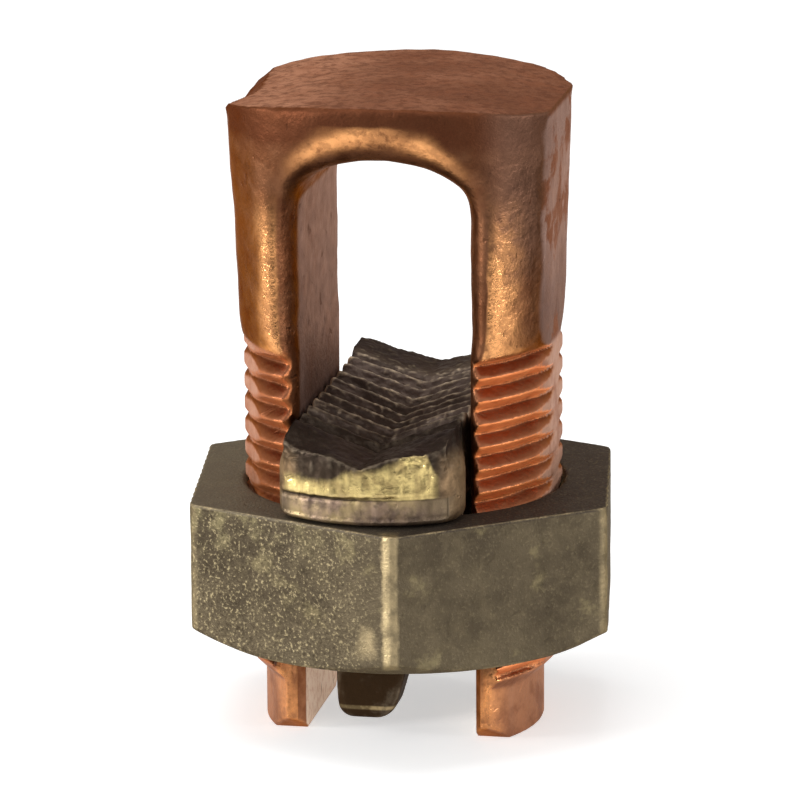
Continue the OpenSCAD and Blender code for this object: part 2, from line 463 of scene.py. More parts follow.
def thread_share(co, normal):
    """1 on the threaded outside of the legs. It ends on their noses, further round on the left leg."""
    outward = leg_outward(co, normal)
    nose = smoothstep(-0.9, -0.6, outward) if co.x < 0 else smoothstep(-0.4, 0.0, outward)
    return nose * smoothstep(9.3, 9.8, math.hypot(co.x, co.y)) * smoothstep(27.9, 27.4, co.z)


def forged_skin(co, normal):
    """Uneven forged skin on the head, its left side a little fuller, and the sheared lip at the left of its top."""
    head = smoothstep(27.4, 29.0, co.z)
    wave = 0.07 * noise.noise(co * 0.28) + 0.035 * noise.noise(co * 0.8 + Vector((7, 3, 1)))
    move = normal * (wave * head)
    if co.x < 0:
        move.x += 0.18 * smoothstep(36.0, 40.5, co.z) * min(normal.x, 0.0)
    if co.z > 42.8:
        line = -11.0 + 1.2 * smoothstep(-6.2, -2.2, co.y) - 0.6 * smoothstep(-1, 7, co.y)
        line += 0.12 * noise.noise(co * 0.9)
        if co.x < line:
            move.z -= 0.55 * (line - co.x) + 0.08
        move.z += 0.16 * smoothstep(-2.0, -8.0, co.x) * smoothstep(0.0, 7.0, co.y) * max(normal.z, 0.0)
    return move


def rubbed_and_highlight_share(co, normal):
    """How far a point is painted gold: wear on the noses of the legs, the lip under the crossbar and the leg ends, with
    a painted highlight where they face the lamps and the bright floor.
    """
    facing = abs(normal.y)
    outward = leg_outward(co, normal)
    # The two legs differ because the gold follows where each leg faces the lamp on its side, which is a painted
    # highlight.
    if co.x < 0:
        leg = smoothstep(-0.65, -0.25, outward) * smoothstep(0.8, 0.56, outward)
    else:
        leg = smoothstep(0.05, 0.3, outward) * smoothstep(0.84, 0.66, outward)
    leg *= smoothstep(0.4, 0.6, facing) * smoothstep(39.5, 34.0, co.z) * smoothstep(26.9, 27.7, co.z)
    # The lip faces down onto the bright floor, and its gold is a painted reflection of it.
    lip = smoothstep(-0.1, -0.3, normal.z) * smoothstep(-0.74, -0.4, normal.z) * smoothstep(0.3, 0.6, facing)
    lip *= smoothstep(36.0, 39.0, co.z) * smoothstep(7.0, 3.5, abs(co.x))
    foot = smoothstep(0.5, 0.75, facing) * smoothstep(6.0, 5.2, co.z) * smoothstep(0.2, 0.9, co.z)
    return max(leg, lip, foot)


def make_split_bolt():
    bolt = lathe("split_bolt_blank", [
        (0, 0), (PILOT_R - PILOT_EDGE, 0), (PILOT_R, PILOT_EDGE), (PILOT_R, PILOT_TOP), (CREST_R, THREAD_LOW),
        (CREST_R, SHOULDER), (HEAD_LOW_R, HEAD_LOW), (BLANK_TOP_R, BLANK_TOP), (0, BLANK_TOP),
    ])
    combine(bolt, "INTERSECT", crown_outline())
    for side in (-1, 1):
        bow = lathe("head_bow", [(0, -2), (HEAD_BOW_R, -2), (HEAD_BOW_R, 48), (0, 48)])
        bow.data.transform(Matrix.Translation((0, side * (HEAD_HALF_DEPTH - HEAD_BOW_R), 0)))
        combine(bolt, "INTERSECT", bow)
    for leg in (-1, 1):
        for end in (-1, 1):
            combine(bolt, "DIFFERENCE", leg_bevel(leg, end))
    corners, springs = arch_corners()
    combine(bolt, "DIFFERENCE", mouth("slot", corners, springs, SIDE_BELL, ARCH_BELL, SLOT_REACH))
    trim = [(SLOT_HALF, SLOT_LOW), (SLOT_HALF, TRIM_TOP), (-SLOT_HALF, TRIM_TOP), (-SLOT_HALF, SLOT_LOW)]
    combine(bolt, "DIFFERENCE", mouth("leg_trim", trim, None, TRIM_BELL, TRIM_BELL, TRIM_REACH))
    for turn in (0, math.pi):
        combine(bolt, "DIFFERENCE", pressed_flat(turn))
    combine(bolt, "DIFFERENCE", thread_groove())
    refine(bolt, BOLT_VOXEL)
    soften(bolt, FORGE_PASSES, forged_weight)
    sculpt(bolt, forged_skin)
    mark_proud(bolt, 20, 0.22)
    mark(bolt, "sheared", sheared_face)
    mark(bolt, "thread", thread_share)
    mark(bolt, "lean", lambda co, normal: normal.z)
    mark(bolt, "rubbed_and_highlight", rubbed_and_highlight_share)
    thin_out(bolt, BOLT_TRIANGLES)
    return bolt


# Hex nut

def corner_wear_and_highlight(co, normal):
    """How far a corner of the hexagon is worn bare: half at the right, less at the hidden ones.

    The front corner has a ragged worn strip with a painted highlight line along it, and a worn patch on its left.
    """
    angle = math.degrees(math.atan2(co.y, co.x))
    reach = math.hypot(co.x, co.y)
    ragged = 0.16 * noise.noise(co * 1.3) + 0.16 * noise.noise(co * 3.1)
    if not -112 < angle < -52:
        share = 0.5 if -52 < angle < 8 else 0.3
        return share * smoothstep(16.12, 16.3, reach + 0.25 * ragged)
    along = math.radians(angle - NUT_TURN + 120) * reach
    strip = smoothstep(-0.75, -0.58, along + 0.5 * ragged) * smoothstep(0.5, 0.3, along + 0.5 * ragged)
    # The brighter line along the strip is a painted highlight on the rounded ridge.
    strip *= 0.6 + 0.4 * smoothstep(0.3, 0.1, abs(along + 0.38))
    patch = math.hypot((along + 1.75) / 0.75, (co.z - 9.4) / 1.3) + 2.2 * ragged
    return max(strip, 0.6 * smoothstep(1.05, 0.75, patch)) * smoothstep(15.0, 15.6, reach)


def cast_skin(co, normal):
    """Slight waves of the cast faces, and small knocks along the ridges."""
    r = math.hypot(co.x, co.y)
    if r < 12.5:
        return Vector((0, 0, 0))
    knock = smoothstep(15.7, 16.4, r) * max(0.0, noise.noise(co * 0.8) - 0.15) * 0.2
    return normal * (0.03 * noise.noise(co * 0.45) - knock)


def make_hex_nut():
    bm = bmesh.new()
    corner_r = NUT_FLATS / 2 / math.cos(math.pi / 6)
    bmesh.ops.create_cone(
        bm, cap_ends=True, segments=6, radius1=corner_r, radius2=corner_r, depth=NUT_HIGH - NUT_LOW,
    )
    corner = next(iter(bm.verts)).co
    swing(bm, math.radians(NUT_TURN) - math.atan2(corner.y, corner.x), "Z")
    shift(bm, (0, 0, (NUT_LOW + NUT_HIGH) / 2))
    ridges = [e for e in bm.edges if abs(e.verts[0].co.z - e.verts[1].co.z) > 1]
    round_off(bm, ridges, NUT_RIDGE_ROUND, 2)
    nut = shape("nut_blank", bm)
    chamfer = (NUT_TURNED_R - CHAMFER_R) * math.tan(math.radians(CHAMFER_ANGLE))
    combine(nut, "INTERSECT", lathe("nut_turning", [
        (0, NUT_LOW), (CHAMFER_R, NUT_LOW), (NUT_TURNED_R, NUT_LOW + chamfer), (NUT_TURNED_R, NUT_HIGH), (0, NUT_HIGH),
    ]))
    combine(nut, "DIFFERENCE", lathe("nut_bore", [
        (0, NUT_LOW - 1), (BORE_MOUTH_LOW_R, NUT_LOW - 1), (BORE_R, NUT_LOW + 0.45), (BORE_R, NUT_HIGH - 0.4),
        (BORE_MOUTH_HIGH_R, NUT_HIGH + 0.35), (BORE_MOUTH_HIGH_R, NUT_HIGH + 1), (0, NUT_HIGH + 1),
    ]))
    section = [
        (10.4, -0.5), (10.4, 0.5), (BORE_R, 0.5), (BORE_GROOVE_R, 0.2), (BORE_GROOVE_R, -0.2), (BORE_R, -0.5),
    ]
    combine(nut, "DIFFERENCE", shape("nut_groove", helix(section, CREST_HEIGHT - 11 * PITCH, 9)))
    refine(nut, NUT_VOXEL)
    sculpt(nut, cast_skin)
    mark_proud(nut, 14, 0.22)
    mark(nut, "corner", corner_wear_and_highlight)
    thin_out(nut, NUT_TRIANGLES)
    return nut


# Pressure bar

def bar_plan():
    """The bar's body: narrow between the legs and wide at its bowed ends, pulled up to its full height."""
    bm = bmesh.new()
    waist = [
        (-BAR_END_HALF_WIDTH, WAIST_OUT), (-BAR_HALF_WIDTH, WAIST_HALF), (-BAR_HALF_WIDTH, -WAIST_HALF),
        (-BAR_END_HALF_WIDTH, -WAIST_OUT),
    ]
    chain, corners = [], []
    for side, radius in ((-1, FRONT_BOW_R), (1, REAR_BOW_R)):
        reach = math.asin(BAR_END_HALF_WIDTH / radius)
        corner_y = BAR_HALF_LENGTH - radius * (1 - math.cos(reach))
        start = bm.verts.new((side * BAR_END_HALF_WIDTH, side * corner_y, BAR_LOW))
        bow = bmesh.ops.spin(
            bm, geom=[start], cent=(0, side * (BAR_HALF_LENGTH - radius), BAR_LOW), axis=(0, 0, 1),
            angle=2 * reach, steps=10,
        )
        end = bow["geom_last"][0]
        chain.append([end] + [bm.verts.new((side * x, side * y, BAR_LOW)) for x, y in waist])
        corners += [start, end]
    chain[0].append(corners[2])
    chain[1].append(corners[0])
    for run in chain:
        for pair in zip(run, run[1:]):
            bm.edges.new(pair)
    bmesh.ops.contextual_create(bm, geom=bm.edges)
    round_off(bm, corners, 1.0, 4, "VERTICES")
    top = pull(bm, next(iter(bm.faces)), (0, 0, BAR_HIGH - BAR_LOW))
    round_off(bm, top.edges[:], 0.35, 3)
    foot = [e for e in bm.edges if all(v.co.z < BAR_LOW + 0.01 for v in e.verts)]
    round_off(bm, foot, 0.8, 4)
    return shape("pressure_bar_blank", bm)


def ridged_slope(name, side):
    """What the tool takes off one slope of the V: a row of rounded grooves, drawn from the middle outwards."""
    past, over = 20.0, 9.0
    line = [(-past, -LAND_DEPTH), (RIDGE_START - 0.4, -LAND_DEPTH)]
    for i in range(RIDGE_COUNT):
        y = RIDGE_START + i * RIDGE_PITCH
        line += [
            (y, -RIDGE_DEPTH), (y + 0.3 * RIDGE_PITCH, -RIDGE_DEPTH * 0.6), (y + 0.56 * RIDGE_PITCH, 0.0),
            (y + 0.7 * RIDGE_PITCH, -0.03),
        ]
    last = RIDGE_START + RIDGE_COUNT * RIDGE_PITCH
    line += [(last, -RIDGE_DEPTH), (last + 0.7, -LAND_DEPTH), (past, -0.1), (past, over), (-past, over)]
    bm = bmesh.new()
    face = bm.faces.new([bm.verts.new((0, y, z)) for y, z in line])
    shift(bm, (-3, 0, 0))
    pull(bm, face, (16, 0, 0))
    swing(bm, -math.atan(V_DEPTH / BAR_HALF_WIDTH), "Y")
    shift(bm, (0, 0, BAR_HIGH - V_DEPTH))
    everything = bm.verts[:] + bm.edges[:] + bm.faces[:]
    bmesh.ops.bisect_plane(bm, geom=everything, plane_co=(-0.01, 0, 0), plane_no=(-1, 0, 0), clear_outer=True)
    bmesh.ops.holes_fill(bm, edges=bm.edges, sides=0)
    if side < 0:
        bmesh.ops.scale(bm, vec=(-1, 1, 1), verts=bm.verts)
    return shape(name, bm)


def prong(turn):
    """A prong that hangs through the nut: upright on one edge, narrowing on the other, bevelled at its tip."""
    bm = bmesh.new()
    face = outline_face(bm, [
        (-PRONG_HALF_WIDTH, PRONG_ROOT), (-PRONG_HALF_WIDTH, PRONG_TIP), (PRONG_TIP_SIDE, PRONG_TIP),
        (PRONG_HALF_WIDTH, PRONG_SHOULDER), (PRONG_HALF_WIDTH, PRONG_ROOT),
    ])
    tips = [v for v in face.verts if v.co.z < PRONG_TIP + 0.1]
    round_off(bm, tips, 1.1, 6, "VERTICES")
    shift(bm, (0, PRONG_FRONT, 0))
    pull(bm, next(iter(bm.faces)), (0, PRONG_DEPTH, 0))
    low = [e for e in bm.edges if all(v.co.y < PRONG_FRONT + 0.1 and v.co.z < 5 for v in e.verts)]
    round_off(bm, low, 0.55, 2)
    swing(bm, turn, "Z")
    return shape("prong", bm)


def worn_bar(co, normal):
    """Waves on the ridges, ends that lean in, a filled rear valley, worn top corners and the marks of the front end.

    The front end stands a little to the left, with a slit across it and a ragged face that is proud above the slit.
    """
    top = smoothstep(20.6, 21.2, co.z)
    move = normal * (top * (0.08 * noise.noise(co * 1.1) + 0.06 * noise.noise(co * 2.6)))
    lean = max(0.0, abs(co.x) - BAR_HALF_WIDTH) * smoothstep(BAR_LOW + 3.4, BAR_HIGH - 0.4, co.z)
    move.x -= math.copysign(lean, co.x) + FRONT_SHIFT * smoothstep(-10.5, -12.5, co.y)
    fill = max(0.0, 1 - abs(co.x) / BAR_HALF_WIDTH) * smoothstep(0.0, 13.0, co.y)
    move.z += 0.6 * fill * smoothstep(20.9, 21.4, co.z + fill)
    high = smoothstep(21.2, 23.2, co.z)
    move.z += 0.25 * high * smoothstep(7.0, 13.0, co.y) * smoothstep(-2.5, -5.2, co.x)
    move.z -= 0.95 * high * smoothstep(-10.0, -14.0, co.y) * smoothstep(1.5, 5.5, abs(co.x))
    if normal.y < -0.4 and co.y < -11.0:
        slit = abs(co.z - (SLIT_HEIGHT + SLIT_CLIMB * co.x))
        fade = smoothstep(4.6, -0.5, co.x) * smoothstep(-6.1, -5.0, co.x)
        move -= normal * ((0.04 + 0.17 * fade) * smoothstep(0.22, 0.05, slit))
    if co.y < -12.6 and co.z > BAR_LOW + 0.5:
        rag = 0.1 * noise.noise(Vector((co.x * 2.2, 3, co.z * 0.7)))
        if co.z < SLIT_HEIGHT - 0.1:
            rag += 0.14
        move.y += rag
    return move


def bar_end_share(co, normal):
    """1 on the two bowed end faces of the bar, which were sheared off."""
    return smoothstep(0.4, 0.7, abs(normal.y)) * smoothstep(11.0, 11.8, abs(co.y)) * smoothstep(16.9, 17.3, co.z)


def make_pressure_bar():
    bar = bar_plan()
    combine(bar, "DIFFERENCE", ridged_slope("right_slope", 1))
    combine(bar, "DIFFERENCE", ridged_slope("left_slope", -1))
    for turn in (0, math.pi):
        combine(bar, "UNION", prong(turn))
    refine(bar, BAR_VOXEL)
    sculpt(bar, worn_bar)
    mark_proud(bar, 14, 0.2)
    mark(bar, "sheared", bar_end_share)
    thin_out(bar, BAR_TRIANGLES)
    return bar


# Finishes

class Nodes:
    """Adds shader nodes to one tree. Inputs are values, or the sockets that feed them."""

    def __init__(self, tree):
        self.tree = tree

    def fill(self, node, inputs):
        for key, value in inputs.items():
            if isinstance(value, bpy.types.NodeSocket):
                self.tree.links.new(value, node.inputs[key])
            else:
                node.inputs[key].default_value = value

    def put(self, kind, inputs=None, **settings):
        node = self.tree.nodes.new("ShaderNode" + kind)
        for key, value in settings.items():
            setattr(node, key, value)
        self.fill(node, inputs or {})
        return node

    def use(self, effect, **inputs):
        """The outputs of a shared effect."""
        return self.put("Group", inputs, node_tree=effect).outputs

    def calc(self, operation, first, second=0.0):
        return self.put("Math", {0: first, 1: second}, operation=operation).outputs[0]

    def plus(self, first, second):
        return self.calc("ADD", first, second)

    def minus(self, first, second):
        return self.calc("SUBTRACT", first, second)

    def most(self, first, second):
        return self.calc("MAXIMUM", first, second)

    def size(self, value):
        return self.calc("ABSOLUTE", value)

    def times(self, *factors):
        product = factors[0]
        for factor in factors[1:]:
            product = self.calc("MULTIPLY", product, factor)
        return product

    def ramp(self, value, low, high, to_low=0.0, to_high=1.0):
        """The value between low and high, eased, as a share between to_low and to_high."""
        inputs = {"Value": value, "From Min": low, "From Max": high, "To Min": to_low, "To Max": to_high}
        return self.put("MapRange", inputs, interpolation_type="SMOOTHSTEP").outputs[0]

    def colour(self, share, first, second):
        first, second = [c if isinstance(c, bpy.types.NodeSocket) else (*c, 1) for c in (first, second)]
        return self.put("Mix", {0: share, 6: first, 7: second}, data_type="RGBA").outputs[2]

    def value(self, share, first, second):
        return self.put("Mix", {0: share, 2: first, 3: second}, data_type="FLOAT").outputs[0]

    def attribute(self, name):
        return self.put("Attribute", attribute_name=name).outputs["Fac"]

    def place(self):
        return self.put("TexCoord").outputs["Object"]

    def place_mm(self, axes):
        """The place along each of the axes, in millimetres."""
        parts = self.put("SeparateXYZ", {0: self.place()})
        return [self.times(parts.outputs[axis], 1 / MM) for axis in axes]

    def cloud(self, place, scale, detail, roughness, distortion=0.0):
        inputs = {"Vector": place, "Scale": scale, "Detail": detail, "Roughness": roughness, "Distortion": distortion}
        return self.put("TexNoise", inputs).outputs["Fac"]

    def feed(self, shader, colour, roughness, metallic, relief, depth):
        """Links a finish to its shader; depth is the height of the relief in metres."""
        bump = self.put("Bump", {"Strength": 1.0, "Distance": depth, "Height": relief}).outputs[0]
        self.fill(shader, {"Base Color": colour, "Roughness": roughness, "Metallic": metallic, "Normal": bump})


def new_effect(name, inputs, outputs):
    """A node group shared by the finishes, with its default numbers."""
    tree = bpy.data.node_groups.new(name, "ShaderNodeTree")
    for label, value in inputs.items():
        tree.interface.new_socket(name=label, in_out="INPUT", socket_type="NodeSocketFloat").default_value = value
    for label in outputs:
        tree.interface.new_socket(name=label, in_out="OUTPUT", socket_type="NodeSocketFloat")
    given = tree.nodes.new("NodeGroupInput").outputs
    return tree, Nodes(tree), given, tree.nodes.new("NodeGroupOutput")


def make_blotches():
    """Soft blotches of tarnish. Size is the number of blotches in a metre, Low and High cut the cloud."""
    inputs = {"Size": 200.0, "Low": 0.45, "High": 0.6, "Shift": 0.0}
    tree, n, given, out = new_effect("tarnish_blotches", inputs, ["Mask"])
    moved = n.put("VectorMath", {0: n.place(), 1: given["Shift"]}, operation="ADD").outputs[0]
    cloud = n.cloud(moved, given["Size"], 5.0, 0.62)
    n.fill(out, {"Mask": n.ramp(cloud, given["Low"], given["High"])})
    return tree


def make_wear():
    """Bare metal along ridges and dirt in hollows, broken up by a fine cloud."""
    inputs = {"Low": 0.15, "High": 0.6, "Break": 0.35}
    tree, n, given, out = new_effect("edge_wear", inputs, ["Ridge", "Hollow", "Cloud"])
    edge = n.attribute("edge")
    cloud = n.cloud(n.place(), 900.0, 4.0, 0.6)
    rough = n.times(n.minus(cloud, 0.5), given["Break"])
    ridge = n.ramp(n.plus(edge, rough), given["Low"], given["High"])
    n.fill(out, {"Ridge": ridge, "Hollow": n.ramp(edge, -0.12, -0.55), "Cloud": cloud})
    return tree


def make_grain():
    """Fine grain of a forged or cast skin: a height for the bump, bright specks, dark flecks and uneven pits."""
    outputs = ["Height", "Pit", "Speck", "Fleck"]
    tree, n, given, out = new_effect("metal_grain", {"Size": 1500.0, "Pits": 700.0}, outputs)
    place = n.place()
    fine = n.cloud(place, given["Size"], 4.0, 0.6)
    pit = n.ramp(n.cloud(place, given["Pits"], 2.0, 0.5, 0.6), 0.66, 0.73)
    n.fill(out, {
        "Height": n.minus(fine, n.times(pit, 0.5)), "Pit": pit,
        "Speck": n.ramp(fine, 0.54, 0.68), "Fleck": n.ramp(fine, 0.46, 0.34),
    })
    return tree


def make_streaks():
    """Upright streaks that a shear or a die drew on a face. Size counts streaks in a metre."""
    tree, n, given, out = new_effect("drawn_streaks", {"Size": 900.0, "Low": 0.4, "High": 0.62}, ["Mask"])
    drawn = n.put("VectorMath", {0: n.place(), 1: (1.0, 1.0, 0.07)}, operation="MULTIPLY").outputs[0]
    lines = n.cloud(drawn, given["Size"], 3.0, 0.6)
    n.fill(out, {"Mask": n.ramp(lines, given["Low"], given["High"])})
    return tree


blotches = make_blotches()
wear = make_wear()
grain = make_grain()
streaks = make_streaks()

# Colours of the finishes, linear. A pair is mixed by a mask: the first where it is 0, the second where it is 1.
FORGED = (0.19, 0.074, 0.033), (0.125, 0.047, 0.022)
FORGED_WARM = (0.25, 0.112, 0.055)
FORGED_UNDER_TOP_DARK_REFLECTION = (0.1, 0.032, 0.015)
FORGED_DULL = (0.15, 0.078, 0.052)
GOLD_WEAR_AND_HIGHLIGHT = (0.84, 0.39, 0.15)
THREAD = (1.0, 0.335, 0.11), (0.88, 0.26, 0.08)
THREAD_UPPER_SHADE = (0.14, 0.046, 0.021), (0.32, 0.12, 0.058)
THREAD_LEFT = (0.36, 0.12, 0.045)
THREAD_ROOT_SHADE = (0.07, 0.024, 0.012)
LEG_END = (0.39, 0.17, 0.085), (0.26, 0.102, 0.049)
LEG_END_GOLD_AND_HIGHLIGHT = (0.82, 0.34, 0.12)
LEG_END_INNER_AND_REFLECTION = (0.95, 0.8, 0.65), (0.8, 0.6, 0.46)
FLANK = (0.42, 0.283, 0.238), (0.325, 0.21, 0.172)
FLANK_STREAK = (0.22, 0.125, 0.095)
FLANK_LOW_SHADE = (0.155, 0.104, 0.093)
FLANK_STAIN = (0.21, 0.078, 0.042)
FLANK_INNER = (0.48, 0.33, 0.27)
CROWN = (0.255, 0.115, 0.07), (0.165, 0.07, 0.042)
CROWN_LEFT = (0.43, 0.21, 0.128)
CROWN_BLOT = (0.2, 0.076, 0.043)
CROWN_SPOT = (0.1, 0.04, 0.026)
PRESSED = (0.52, 0.29, 0.2), (0.38, 0.175, 0.108)
COPPER_HOLLOW = (0.13, 0.042, 0.019)
COPPER_BARE = (0.74, 0.43, 0.26)
COPPER_PIT = (0.09, 0.035, 0.02)
COPPER_TINT = (0.62, 0.4, 0.3, 1)

OLIVE = (0.114, 0.089, 0.056), (0.074, 0.057, 0.037)
OLIVE_LIGHT = (0.145, 0.114, 0.069)
OLIVE_SCUFF = (0.27, 0.22, 0.115)
OLIVE_PAINTED_LIGHT = (0.25, 0.21, 0.11)
SPECK = (0.4, 0.325, 0.185)
FLECK = (0.048, 0.036, 0.023)
NUT_TOP = (0.13, 0.107, 0.078), (0.05, 0.039, 0.032)
NUT_TOP_SPECK = (0.2, 0.165, 0.11)
NUT_HOLLOW = (0.06, 0.042, 0.028)
NUT_BARE = (0.63, 0.49, 0.27), (0.44, 0.34, 0.185)
NUT_PIT = (0.05, 0.036, 0.024)
BRONZE_TINT = (0.4, 0.34, 0.27, 1)

BLACK_BROWN = (0.046, 0.033, 0.025), (0.03, 0.021, 0.016)
BAR_END = (0.034, 0.024, 0.018)
GRIP_AND_PAINTED_LIGHT = (0.16, 0.118, 0.098), (0.09, 0.066, 0.054)
TAN = (0.25, 0.162, 0.088), (0.145, 0.093, 0.052)
BRASS = (0.74, 0.575, 0.235), (0.45, 0.335, 0.14)
BRASS_STREAK = (0.3, 0.215, 0.095)
GREY_BROWN = (0.275, 0.19, 0.136), (0.13, 0.09, 0.07)
LOW_BRASS = (0.5, 0.38, 0.17)
LOW_END = (0.115, 0.082, 0.058)
SLIT_SHADE = (0.05, 0.033, 0.018)
PRONG = (0.028, 0.0145, 0.006)
PRONG_TIP_HIGHLIGHT = (0.3, 0.22, 0.11)
BAR_HOLLOW = (0.022, 0.015, 0.011)
BAR_CREST_WEAR_AND_HIGHLIGHT = (0.72, 0.57, 0.4)
BAR_PIT = (0.025, 0.018, 0.012)


def new_material(name):
    material = bpy.data.materials.new(name)
    material.use_nodes = True
    tree = material.node_tree
    return material, Nodes(tree), tree.nodes["Principled BSDF"]


def make_copper():
    """Forged copper: brown tarnish, worn gold with a painted highlight on the round noses, a dull lilac brown on the
    sheared faces, and painted shade on the thread and under the top edge.
    """
    material, n, shader = new_material("forged_copper")
    n.fill(shader, {"Specular Tint": COPPER_TINT})
    x, z = n.place_mm("XZ")
    across = n.size(x)
    sheared = n.attribute("sheared")
    thread = n.attribute("thread")
    lean = n.attribute("lean")
    edge = n.attribute("edge")
    worn = n.use(wear, Low=0.22, High=0.8, Break=0.5)
    skin = n.use(grain, Size=2300.0, Pits=900.0)
    large = n.use(blotches, Size=130.0, Low=0.38, High=0.62)["Mask"]
    small = n.use(blotches, Size=420.0, Low=0.42, High=0.62, Shift=0.3)["Mask"]
    fine = n.use(blotches, Size=1500.0, Low=0.45, High=0.62, Shift=0.5)["Mask"]
    stain = n.use(blotches, Size=260.0, Low=0.52, High=0.6, Shift=0.7)["Mask"]
    drawn = n.use(streaks, Size=700.0)["Mask"]
    pilot = n.ramp(z, 5.6, 4.4)
    above = n.ramp(z, 43.7, 44.1)
    left = n.ramp(x, -4.0, -8.0)

    forged = n.colour(large, *FORGED)
    forged = n.colour(n.times(small, 0.45), forged, FORGED_WARM)
    # Painted dark reflection: the crossbar's front just under the top edge is darkened where it faces the dark room in
    # front.
    forged = n.colour(n.ramp(z, 41.6, 43.0, 0.0, 0.8), forged, FORGED_UNDER_TOP_DARK_REFLECTION)
    dull = n.times(n.ramp(x, 6.5, 9.0), n.ramp(z, 31.0, 36.0), 0.75)
    forged = n.colour(dull, forged, FORGED_DULL)
    patchy = n.minus(1.0, n.plus(n.times(small, 0.5), n.times(fine, 0.3)))
    # Gold is partly wear and partly painted highlight on the noses, the lip and the leg ends.
    rubbed_and_highlight = n.times(n.attribute("rubbed_and_highlight"), patchy)
    colour = n.colour(rubbed_and_highlight, forged, GOLD_WEAR_AND_HIGHLIGHT)

    screw = n.colour(small, *THREAD)
    screw = n.colour(n.times(left, 0.85), screw, THREAD_LEFT)
    # Painted light on the thread: up-facing flanks are a shaded copy, darkest towards the root, while down-facing
    # flanks keep a bright orange that stands for bounce light.
    upper_shade = n.colour(n.ramp(edge, -0.25, 0.4), *THREAD_UPPER_SHADE)
    screw = n.colour(n.ramp(lean, 0.0, 0.35), screw, upper_shade)
    # Painted shade in the groove roots, where the teeth shade each other.
    screw = n.colour(n.ramp(edge, -0.1, -0.4, 0.0, 0.95), screw, THREAD_ROOT_SHADE)
    colour = n.colour(thread, colour, screw)
    end = n.colour(small, *LEG_END)
    end = n.colour(rubbed_and_highlight, end, LEG_END_GOLD_AND_HIGHLIGHT)
    colour = n.colour(pilot, colour, end)

    flank = n.colour(large, *FLANK)
    flank = n.colour(n.times(drawn, 0.35), flank, FLANK_STREAK)
    # Painted shade: the sheared flanks darken towards the bottom, where the slot's inner walls go down between the
    # legs.
    flank = n.colour(n.ramp(z, 37.0, 29.0, 0.0, 0.75), flank, FLANK_LOW_SHADE)
    flank = n.colour(n.times(stain, n.ramp(across, 8.0, 9.0, 0.2, 0.85)), flank, FLANK_STAIN)
    flank = n.colour(n.times(n.ramp(across, 8.0, 7.0), 0.3), flank, FLANK_INNER)
    crown = n.colour(large, *CROWN)
    crown = n.colour(n.times(n.ramp(x, 0.0, -7.0), 0.75), crown, CROWN_LEFT)
    crown = n.colour(n.times(small, 0.45), crown, CROWN_BLOT)
    crown = n.colour(n.times(fine, 0.55), crown, CROWN_SPOT)
    plate = n.colour(above, flank, crown)
    pressed = n.times(n.ramp(across, 8.0, 9.0), n.ramp(z, 27.8, 27.2))
    plate = n.colour(pressed, plate, n.colour(small, *PRESSED))
    plate = n.colour(pilot, plate, end)
    # The inner faces of the leg ends: their own pale sheared colour, brightened by a painted reflection of the floor,
    # since they sit in shade under the nut.
    inner = n.times(pilot, n.ramp(across, 8.6, 7.8))
    plate = n.colour(inner, plate, n.colour(fine, *LEG_END_INNER_AND_REFLECTION))
    colour = n.colour(sheared, colour, plate)

    colour = n.colour(n.times(worn["Hollow"], 0.7), colour, COPPER_HOLLOW)
    ridge = n.times(worn["Ridge"], n.ramp(z, 40.5, 42.5, 0.75, 0.1))
    ridge = n.times(ridge, n.minus(1.0, n.times(thread, left, 0.6)))
    colour = n.colour(ridge, colour, COPPER_BARE)
    pits = n.times(skin["Pit"], n.minus(1.0, n.most(thread, rubbed_and_highlight)), 0.4)
    colour = n.colour(pits, colour, COPPER_PIT)

    roughness = n.value(sheared, n.value(rubbed_and_highlight, 0.42, 0.24), 0.5)
    roughness = n.plus(roughness, n.ramp(z, 40.5, 42.0, 0.0, 0.14))
    roughness = n.plus(roughness, n.ramp(worn["Cloud"], 0.3, 0.7, -0.06, 0.08))
    under = n.times(thread, n.ramp(lean, 0.3, 0.0))
    metallic = n.value(under, n.value(sheared, 1.0, 0.9), 0.5)
    relief = n.plus(skin["Height"], n.times(worn["Cloud"], rubbed_and_highlight, 1.6))
    n.feed(shader, colour, roughness, metallic, relief, 0.00006)
    return material


